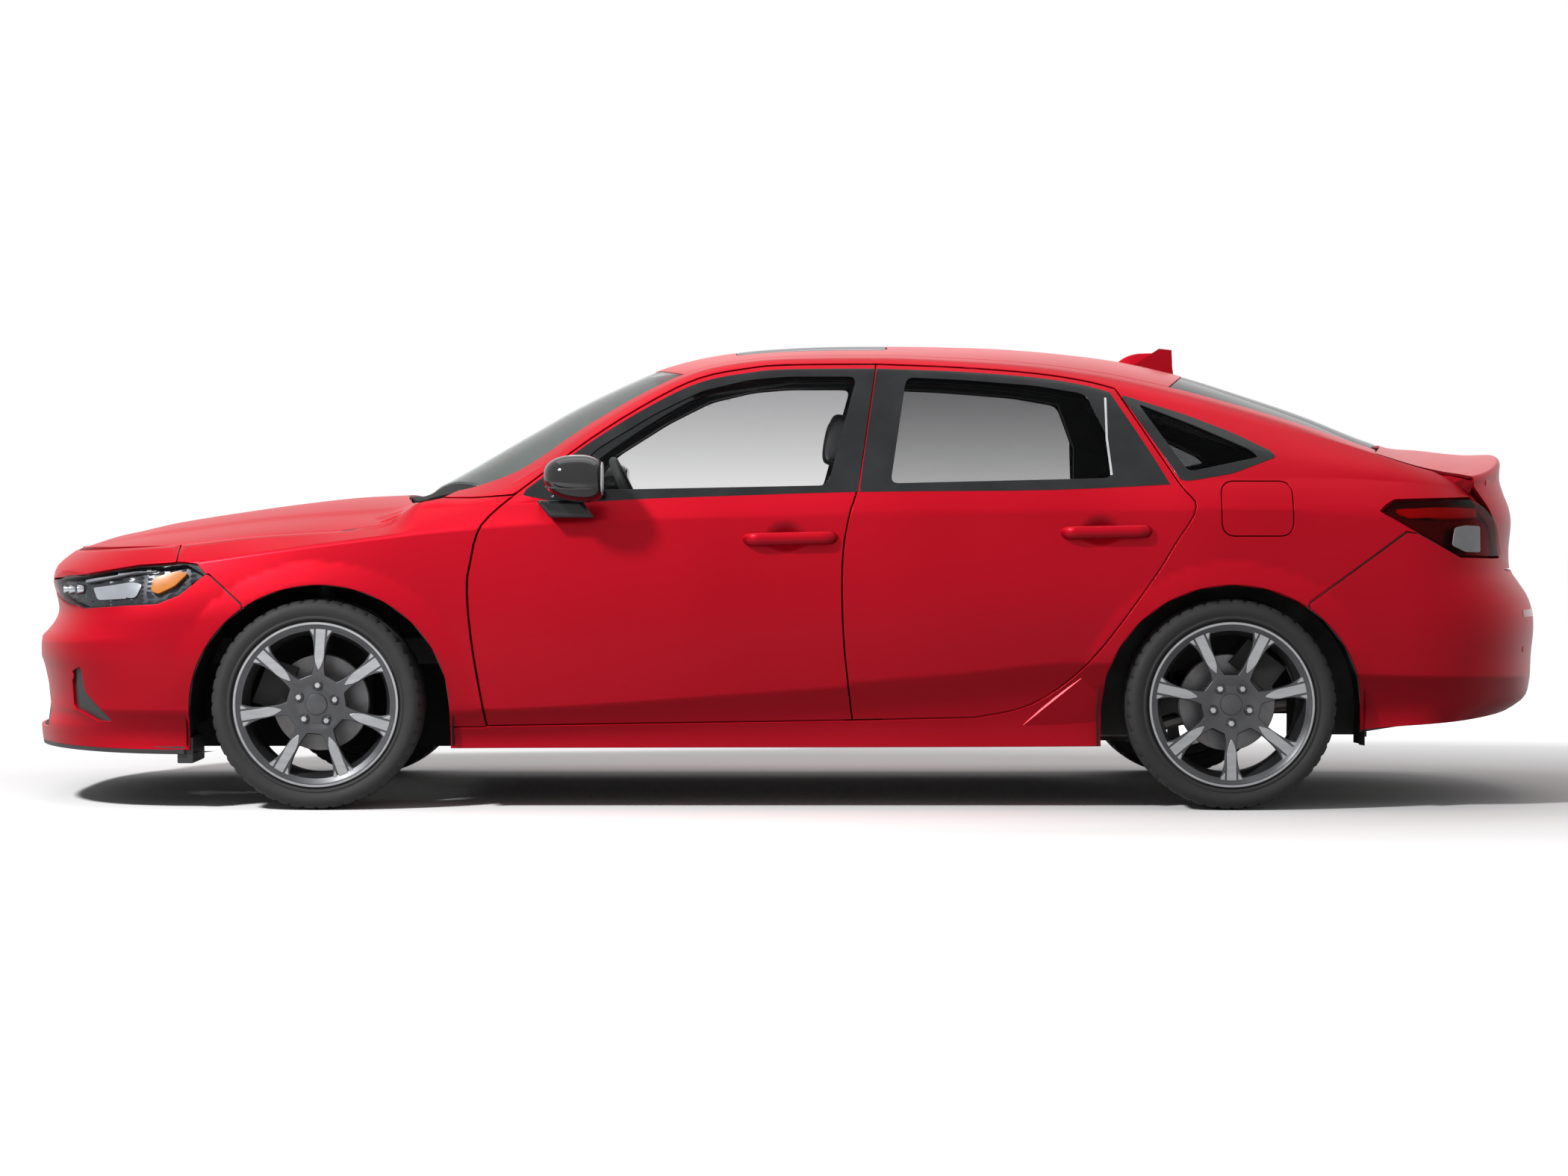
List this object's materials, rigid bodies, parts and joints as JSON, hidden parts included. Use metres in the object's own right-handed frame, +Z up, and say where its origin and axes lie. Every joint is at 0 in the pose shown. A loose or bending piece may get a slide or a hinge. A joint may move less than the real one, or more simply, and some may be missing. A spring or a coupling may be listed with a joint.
{
  "type": "hybrid sedan",
  "caption": "Four-door saloon car with steered front wheels, rolling wheels, opening doors, hood, trunk lid and fuel flap.",
  "frame": {"origin": "on the road, half-way along the car's length and on its middle plane", "axes": "-X towards the nose, -Y towards the car's left side, +Z up"},
  "size_m": [4.704, 2.104, 1.4155],
  "materials": {
    "paint": "gloss",
    "black_trim": "gloss",
    "glass": "gloss",
    "cloth": "matte",
    "steel": "satin",
    "alloy": "satin",
    "rubber": "matte",
    "clear_lens": "gloss",
    "red_lens": "gloss"
  },
  "bodies": {
    "body": {"side_frame_left": "paint", "side_frame_right": "paint", "fender_left": "paint", "fender_right": "paint", "front_bumper": "paint", "rear_bumper": "paint", "grille_upper": "black_trim", "grille_lower": "black_trim", "headlamp_left": "clear_lens", "headlamp_right": "clear_lens", "taillamp_left": "red_lens", "taillamp_right": "red_lens", "cowl_panel": "black_trim", "windshield": "glass", "roof_panel": "paint", "rear_window": "glass", "quarter_glass_left": "glass", "quarter_glass_right": "glass", "floor_pan": "steel", "front_subframe": "steel", "rear_axle": "steel", "engine": "steel", "exhaust": "steel", "dashboard": "black_trim", "seat_left": "cloth", "seat_right": "cloth", "rear_seat": "cloth"},
    "steered_left": {"knuckle_left": "steel"},
    "steered_right": {"knuckle_right": "steel"},
    "road_wheel_front_left": {"wheel_front_left": "alloy", "tyre_front_left": "rubber"},
    "road_wheel_front_right": {"wheel_front_right": "alloy", "tyre_front_right": "rubber"},
    "road_wheel_rear_left": {"wheel_rear_left": "alloy", "tyre_rear_left": "rubber"},
    "road_wheel_rear_right": {"wheel_rear_right": "alloy", "tyre_rear_right": "rubber"},
    "hand_wheel": {"steering_wheel": "black_trim"},
    "front_door_left": {"door_front_left": "paint", "glass_front_left": "glass", "mirror_left": "black_trim"},
    "front_door_right": {"door_front_right": "paint", "glass_front_right": "glass", "mirror_right": "black_trim"},
    "rear_door_left": {"door_rear_left": "paint", "glass_rear_left": "glass"},
    "rear_door_right": {"door_rear_right": "paint", "glass_rear_right": "glass"},
    "hood_panel": {"hood": "paint"},
    "lid": {"trunk_lid": "paint"},
    "flap": {"fuel_flap": "paint"}
  },
  "joints": [
    {"name": "steer_left", "type": "hinge", "parent": "body", "child": "steered_left", "pos_m": [-1.4155, -0.7, 0.315], "axis": [0, 0, 1], "range_deg": [-33, 33]},
    {"name": "steer_right", "type": "hinge", "parent": "body", "child": "steered_right", "pos_m": [-1.4155, 0.7, 0.315], "axis": [0, 0, 1], "range_deg": [-33, 33]},
    {"name": "steering_wheel_turn", "type": "hinge", "parent": "body", "child": "hand_wheel", "pos_m": [-0.475, -0.365, 0.885], "axis": [0.9135, 0, 0.4067], "range_deg": [-429, 429]},
    {"name": "roll_front_left", "type": "hinge", "parent": "steered_left", "child": "road_wheel_front_left", "pos_m": [-1.4155, -0.7735, 0.315], "axis": [0, -1, 0], "continuous": true},
    {"name": "roll_front_right", "type": "hinge", "parent": "steered_right", "child": "road_wheel_front_right", "pos_m": [-1.4155, 0.7735, 0.315], "axis": [0, -1, 0], "continuous": true},
    {"name": "roll_rear_left", "type": "hinge", "parent": "body", "child": "road_wheel_rear_left", "pos_m": [1.3205, -0.7825, 0.315], "axis": [0, -1, 0], "continuous": true},
    {"name": "roll_rear_right", "type": "hinge", "parent": "body", "child": "road_wheel_rear_right", "pos_m": [1.3205, 0.7825, 0.315], "axis": [0, -1, 0], "continuous": true},
    {"name": "open_front_left", "type": "hinge", "parent": "body", "child": "front_door_left", "pos_m": [-0.9, -0.872, 0.6], "axis": [0, 0, -1], "range_deg": [0, 65]},
    {"name": "open_front_right", "type": "hinge", "parent": "body", "child": "front_door_right", "pos_m": [-0.9, 0.872, 0.6], "axis": [0, 0, 1], "range_deg": [0, 65]},
    {"name": "open_rear_left", "type": "hinge", "parent": "body", "child": "rear_door_left", "pos_m": [0.22125, -0.872, 0.6], "axis": [0, 0, -1], "range_deg": [0, 65]},
    {"name": "open_rear_right", "type": "hinge", "parent": "body", "child": "rear_door_right", "pos_m": [0.22125, 0.872, 0.6], "axis": [0, 0, 1], "range_deg": [0, 65]},
    {"name": "open_hood", "type": "hinge", "parent": "body", "child": "hood_panel", "pos_m": [-1.088, 0, 0.925], "axis": [0, 1, 0], "range_deg": [0, 50]},
    {"name": "open_trunk", "type": "hinge", "parent": "body", "child": "lid", "pos_m": [1.775, 0, 1.075], "axis": [0, -1, 0], "range_deg": [0, 75]},
    {"name": "open_fuel_flap", "type": "hinge", "parent": "body", "child": "flap", "pos_m": [1.3, -0.892, 0.9], "axis": [0, 0, -1], "range_deg": [0, 90]}
  ],
  "couplings": [
    {"joint": "steer_right", "follows": "steer_left", "ratio": 1},
    {"joint": "steering_wheel_turn", "follows": "steer_left", "ratio": 13}
  ]
}
